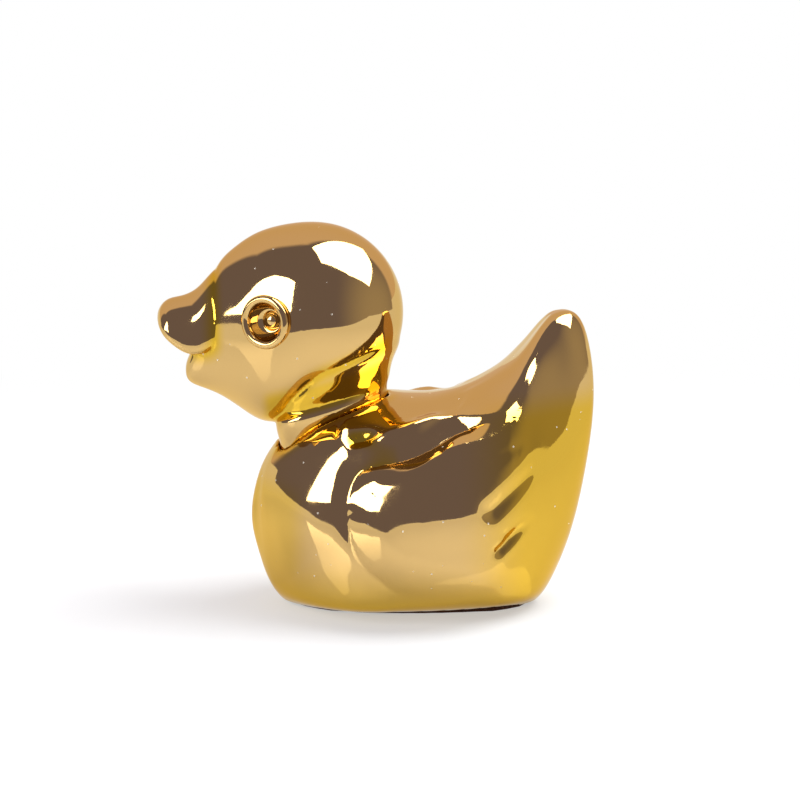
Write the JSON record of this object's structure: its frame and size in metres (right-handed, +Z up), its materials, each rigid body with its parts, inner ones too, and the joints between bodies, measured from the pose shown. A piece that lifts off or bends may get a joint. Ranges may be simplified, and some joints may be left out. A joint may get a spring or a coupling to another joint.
{
  "type": "duck figurine",
  "caption": "Standing duckling figurine in bright gold-plated cast resin: round head with an open bill and ringed eyes, folded wings with feather furrows, upswept tail and a flat padded base.",
  "frame": {"origin": "centre of the bounding box in X and Y, on the plane that the base pad stands on", "axes": "+Z up, -X the way the bill points, -Y the duck's left side"},
  "size_m": [0.07, 0.0466, 0.0617],
  "materials": {
    "gold_plating": "mirror-bright gold-coloured vacuum plating over cast resin",
    "steel": "plain drawn wire",
    "felt": "dark brown pressed felt"
  },
  "bodies": {
    "root": {"body": "gold_plating", "head": "gold_plating", "left_eye_cup": "gold_plating", "right_eye_cup": "gold_plating", "left_eye_bead": "gold_plating", "right_eye_bead": "gold_plating", "neck_dowel": "steel", "base_pad": "felt"}
  },
  "joints": []
}
